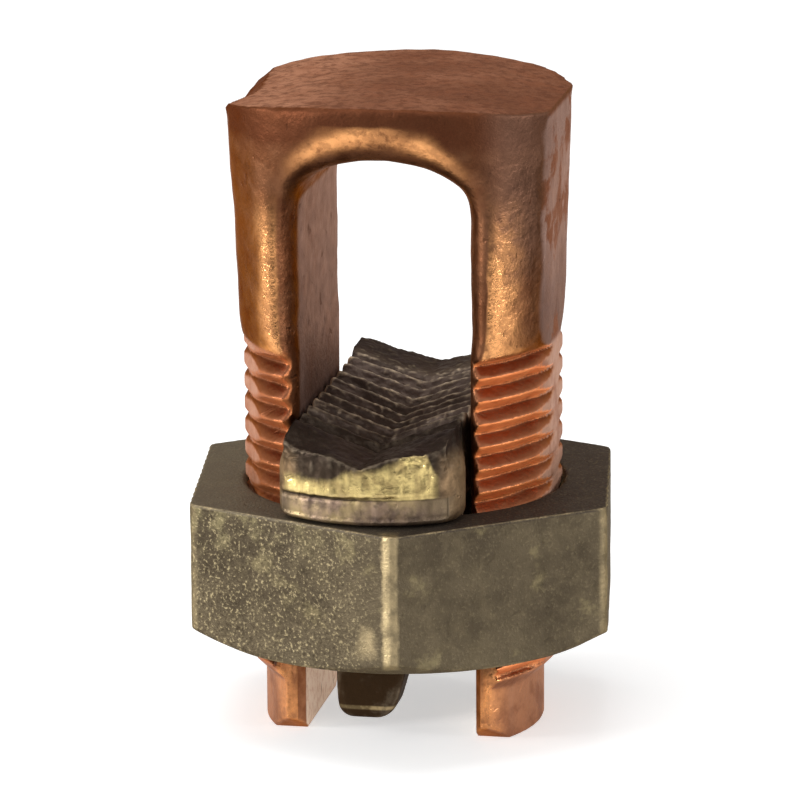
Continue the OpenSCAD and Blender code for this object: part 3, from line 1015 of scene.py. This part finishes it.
def make_nut_bronze():
    """Cast bronze gone olive brown: sandy grain with bright specks, darker above, bare along its ridges, with painted
    light on its upper left.
    """
    material, n, shader = new_material("cast_bronze")
    n.fill(shader, {"Specular Tint": BRONZE_TINT, "Specular IOR Level": 0.3})
    x, z = n.place_mm("XZ")
    worn = n.use(wear, Low=0.14, High=0.55, Break=0.45)
    skin = n.use(grain, Size=4700.0, Pits=800.0)
    large = n.use(blotches, Size=110.0, Low=0.4, High=0.62, Shift=0.2)["Mask"]
    small = n.use(blotches, Size=600.0, Low=0.45, High=0.65, Shift=0.5)["Mask"]
    scuff = n.use(blotches, Size=240.0, Low=0.57, High=0.66, Shift=0.8)["Mask"]
    top = n.ramp(z, 16.95, 17.12)
    sandy = n.ramp(x, 3.0, -3.0, 0.15, 1.0)
    corner = n.times(n.attribute("corner"), n.ramp(worn["Cloud"], 0.3, 0.62, 0.35, 1.0))
    bare = n.most(worn["Ridge"], corner)

    colour = n.colour(large, *OLIVE)
    colour = n.colour(n.times(small, 0.5), colour, OLIVE_LIGHT)
    colour = n.colour(n.times(scuff, 0.5), colour, OLIVE_SCUFF)
    # Painted light: the upper left of the nut, which faces the key lamp, is lightened in patches.
    high = n.times(n.ramp(z, 13.0, 16.5), n.ramp(x, 0.0, -8.0), small, 0.7)
    colour = n.colour(high, colour, OLIVE_PAINTED_LIGHT)
    colour = n.colour(n.times(skin["Speck"], sandy, 0.9), colour, SPECK)
    colour = n.colour(n.times(skin["Fleck"], sandy, 0.65), colour, FLECK)
    dark = n.colour(n.ramp(x, -6.0, 6.0), *NUT_TOP)
    dark = n.colour(n.times(skin["Speck"], 0.5), dark, NUT_TOP_SPECK)
    colour = n.colour(n.times(top, 0.9), colour, dark)
    colour = n.colour(n.times(worn["Hollow"], 0.6), colour, NUT_HOLLOW)
    colour = n.colour(n.times(bare, 0.8), colour, n.colour(small, *NUT_BARE))
    colour = n.colour(n.times(skin["Pit"], 0.15), colour, NUT_PIT)

    roughness = n.value(bare, 0.58, 0.4)
    roughness = n.plus(roughness, n.ramp(worn["Cloud"], 0.3, 0.7, -0.07, 0.07))
    metallic = n.value(bare, 0.8, 1.0)
    n.feed(shader, colour, roughness, metallic, skin["Height"], 0.00008)
    return material


def make_bar_bronze():
    """Dark bronze: nearly black on top, bare brass where the front end was sheared, grey brown under the slit, painted
    light and highlights on the ridged middle, and painted shade in the slit.
    """
    material, n, shader = new_material("dark_bronze")
    n.fill(shader, {"Specular Tint": BRONZE_TINT, "Specular IOR Level": 0.3})
    x, y, z = n.place_mm("XYZ")
    worn = n.use(wear, Low=0.02, High=0.36, Break=0.6)
    skin = n.use(grain, Size=1700.0, Pits=900.0)
    large = n.use(blotches, Size=220.0, Low=0.4, High=0.62, Shift=0.4)["Mask"]
    small = n.use(blotches, Size=900.0, Low=0.42, High=0.62, Shift=0.1)["Mask"]
    drawn = n.use(streaks, Size=1100.0)["Mask"]
    torn = n.use(blotches, Size=200.0, Low=0.25, High=0.75, Shift=0.9)["Mask"]
    end = n.attribute("sheared")

    # The brass ends upwards at a ragged line that climbs to the right and drops at the corner
    line = n.plus(n.ramp(x, -2.6, -0.6, 20.3, 21.1), n.ramp(torn, 0.0, 1.0, -0.35, 0.35))
    line = n.plus(line, n.ramp(x, 0.0, 3.6, 0.0, 1.3))
    line = n.minus(line, n.ramp(x, 3.9, 4.7, 0.0, 1.8))
    under = n.ramp(n.minus(line, z), -0.4, 0.4)
    band = n.times(end, under, n.ramp(z, 19.1, 19.3), n.ramp(x, 5.0, 4.3), n.ramp(x, -6.1, -5.2))
    low = n.times(end, n.ramp(z, 19.25, 19.05))

    colour = n.colour(large, *BLACK_BROWN)
    colour = n.colour(end, colour, BAR_END)
    # The ridged middle of the top is painted lighter: its own grey brown, lifted by painted light where the crossbar
    # shades it.
    grip_and_light = n.times(n.ramp(z, 21.0, 21.3), n.ramp(y, -8.5, -4.0), n.ramp(y, 12.0, 9.0))
    colour = n.colour(grip_and_light, colour, n.colour(large, *GRIP_AND_PAINTED_LIGHT))
    side = n.times(n.ramp(z, 22.6, 20.8), n.ramp(n.size(x), 4.5, 5.4, 0.06, 1.0))
    colour = n.colour(side, colour, n.colour(small, *TAN))
    brass = n.colour(small, *BRASS)
    brass = n.colour(n.times(drawn, 0.45), brass, BRASS_STREAK)
    colour = n.colour(band, colour, brass)
    strip = n.colour(small, *GREY_BROWN)
    strip = n.colour(n.times(large, 0.6), strip, LOW_BRASS)
    ends = n.most(n.ramp(x, 2.9, 4.0), n.ramp(x, -4.9, -5.8))
    strip = n.colour(n.times(ends, 0.75), strip, LOW_END)
    colour = n.colour(low, colour, strip)
    # Painted shade in the slit across the front end.
    slit = n.size(n.minus(n.minus(z, SLIT_HEIGHT), n.times(x, SLIT_CLIMB)))
    slit = n.times(end, n.ramp(slit, 0.2, 0.08), n.ramp(x, 4.0, -0.5, 0.08, 0.7))
    colour = n.colour(slit, colour, SLIT_SHADE)
    colour = n.colour(n.ramp(z, 17.0, 16.4, 0.0, 0.95), colour, PRONG)
    colour = n.colour(n.times(worn["Hollow"], 0.75), colour, BAR_HOLLOW)
    # Painted highlight: a bright line on the prongs just above their bevelled tips, broken up by the cloud.
    rubbed_and_highlight = n.ramp(n.size(n.minus(z, 3.45)), 0.2, 0.06)
    rubbed_and_highlight = n.times(rubbed_and_highlight, n.ramp(n.size(y), 9.9, 10.2), n.ramp(worn["Cloud"], 0.4, 0.6, 0.3, 1.0))
    colour = n.colour(rubbed_and_highlight, colour, PRONG_TIP_HIGHLIGHT)
    # Bright crests: worn bare, with a painted highlight along the ridges in the middle of the top.
    crest = n.times(worn["Ridge"], n.ramp(y, -9.0, -3.5, 0.1, 1.0), n.ramp(y, 12.5, 9.5, 0.2, 1.0))
    crest = n.most(crest, n.times(worn["Ridge"], n.ramp(z, 6.0, 4.5, 0.0, 0.2)))
    colour = n.colour(crest, colour, BAR_CREST_WEAR_AND_HIGHLIGHT)
    colour = n.colour(n.times(skin["Pit"], 0.3), colour, BAR_PIT)

    roughness = n.value(band, 0.5, 0.32)
    roughness = n.plus(roughness, n.ramp(worn["Cloud"], 0.3, 0.7, -0.08, 0.08))
    metallic = n.value(band, 0.8, 1.0)
    n.feed(shader, colour, roughness, metallic, skin["Height"], 0.00007)
    return material


copper = make_copper()
nut_bronze = make_nut_bronze()
bar_bronze = make_bar_bronze()

finish_piece(make_split_bolt(), "split_bolt.forged", "bolt", "split_bolt", copper)
finish_piece(make_hex_nut(), "hex_nut.cast", "nut", "hex_nut", nut_bronze)
finish_piece(make_pressure_bar(), "pressure_bar.ridged", "bar", "pressure_bar", bar_bronze)


# Floor, light and camera. Places and sizes of the floor, cards and lamps are in metres.

FLOOR_R = 3.0
FLOOR_GLOW = 0.5
ROOM_LIGHT = 0.4
ROOM_SEEN = 0.6
CARD_GREY = 0.03
# Inner and outer radius, first and last angle, and height
FLOOR_CARDS = {
    "outer_floor_card": (0.16, 0.8, -200, 0, 0.001),
    "front_floor_card": (0.1, 0.16, -155, -30, 0.0012),
    "right_floor_card": (0.05, 0.8, 2, 40, 0.0012),
}
# Place, size and power
LAMPS = {
    "left_window": ((-0.46, -0.24, 0.11), (0.11, 0.07), 1.7),
    "right_window": ((0.5, -0.13, 0.1), (0.11, 0.07), 0.85),
    "front_fill": ((-0.16, -0.5, 0.3), (0.3, 0.2), 0.5),
    "top_soft": ((-0.1, -0.05, 0.6), (0.4, 0.4), 1.3),
}
LAMP_TARGET = (0, 0, 0.024)
# The camera that was fitted to the photograph; its place is in millimetres
CAMERA_PLACE = (66.13, -345.71, 111.15)
CAMERA_TURN = 10.873
CAMERA_DOWN = 14.127
CAMERA_ROLL = -0.369
CAMERA_LENS = 235.2
CAMERA_SENSOR = 36.0


def light_path_white(n, level):
    """The level for rays that show the background, and 0 for the others."""
    path = n.put("LightPath").outputs
    shown = n.most(path["Is Camera Ray"], path["Is Glossy Ray"])
    return n.times(n.most(shown, path["Is Transmission Ray"]), level)


def make_floor():
    bm = bmesh.new()
    bmesh.ops.create_circle(bm, cap_ends=True, segments=96, radius=FLOOR_R)
    floor = mesh_object("floor", bm)
    material, n, shader = new_material("white_paper")
    n.fill(shader, {
        "Base Color": (0.85, 0.85, 0.85, 1), "Roughness": 0.9, "Specular IOR Level": 0.0,
        "Emission Color": (1, 1, 1, 1), "Emission Strength": light_path_white(n, FLOOR_GLOW),
    })
    floor.data.materials.append(material)


def make_card(name, bm):
    """A dark card that only reflections see."""
    card = mesh_object(name, bm)
    material, n, shader = new_material(name)
    n.fill(shader, {"Base Color": (CARD_GREY, CARD_GREY, CARD_GREY, 1), "Roughness": 0.95})
    card.data.materials.append(material)
    card.visible_camera = False
    card.visible_diffuse = False
    card.visible_shadow = False
    card.visible_transmission = False


def floor_card(name, inner, outer, start, end, level):
    """A flat sector of a ring just above the floor, between two angles in degrees."""
    bm = bmesh.new()
    a = math.radians(start)
    ends = [bm.verts.new((r * math.cos(a), r * math.sin(a), level)) for r in (inner, outer)]
    edge = bm.edges.new(ends)
    angle = math.radians(end - start)
    bmesh.ops.spin(bm, geom=ends + [edge], cent=(0, 0, 0), axis=(0, 0, 1), angle=angle, steps=48)
    make_card(name, bm)


def upright_card(name, width, tall, place):
    """A card that stands across Y."""
    bm = bmesh.new()
    bmesh.ops.create_grid(bm, x_segments=1, y_segments=1, size=0.5)
    bmesh.ops.scale(bm, vec=(width, tall, 1), verts=bm.verts)
    swing(bm, math.radians(90), "X")
    shift(bm, place)
    make_card(name, bm)


def make_lamp(name, place, size, power):
    data = bpy.data.lights.new(name, "AREA")
    data.shape = "RECTANGLE"
    data.size, data.size_y = size
    data.energy = power
    lamp = new_object(name, data)
    lamp.location = place
    lamp.rotation_euler = (Vector(LAMP_TARGET) - Vector(place)).to_track_quat("-Z", "Y").to_euler()


def make_world():
    """A white room that lights the object less than it shows."""
    world = bpy.data.worlds.new("white_room")
    bpy.context.scene.world = world
    world.use_nodes = True
    n = Nodes(world.node_tree)
    strength = n.plus(light_path_white(n, ROOM_SEEN), ROOM_LIGHT)
    n.fill(world.node_tree.nodes["Background"], {"Color": (1, 1, 1, 1), "Strength": strength})


def make_camera():
    camera = new_object("camera", bpy.data.cameras.new("camera"))
    camera.data.sensor_fit = "HORIZONTAL"
    camera.data.sensor_width = CAMERA_SENSOR
    camera.data.lens = CAMERA_LENS
    turn = (
        Matrix.Rotation(math.radians(CAMERA_TURN), 4, "Z")
        @ Matrix.Rotation(math.radians(90 - CAMERA_DOWN), 4, "X")
        @ Matrix.Rotation(math.radians(CAMERA_ROLL), 4, "Z")
    )
    camera.matrix_world = Matrix.Translation(Vector(CAMERA_PLACE) * MM) @ turn
    bpy.context.scene.camera = camera


make_floor()
for card_name, card in FLOOR_CARDS.items():
    floor_card(card_name, *card)
upright_card("front_card", 0.6, 0.5, (0.15, -0.7, 0.25))
for lamp_name, lamp in LAMPS.items():
    make_lamp(lamp_name, *lamp)
make_world()
make_camera()
bpy.context.scene.view_settings.view_transform = "Standard"
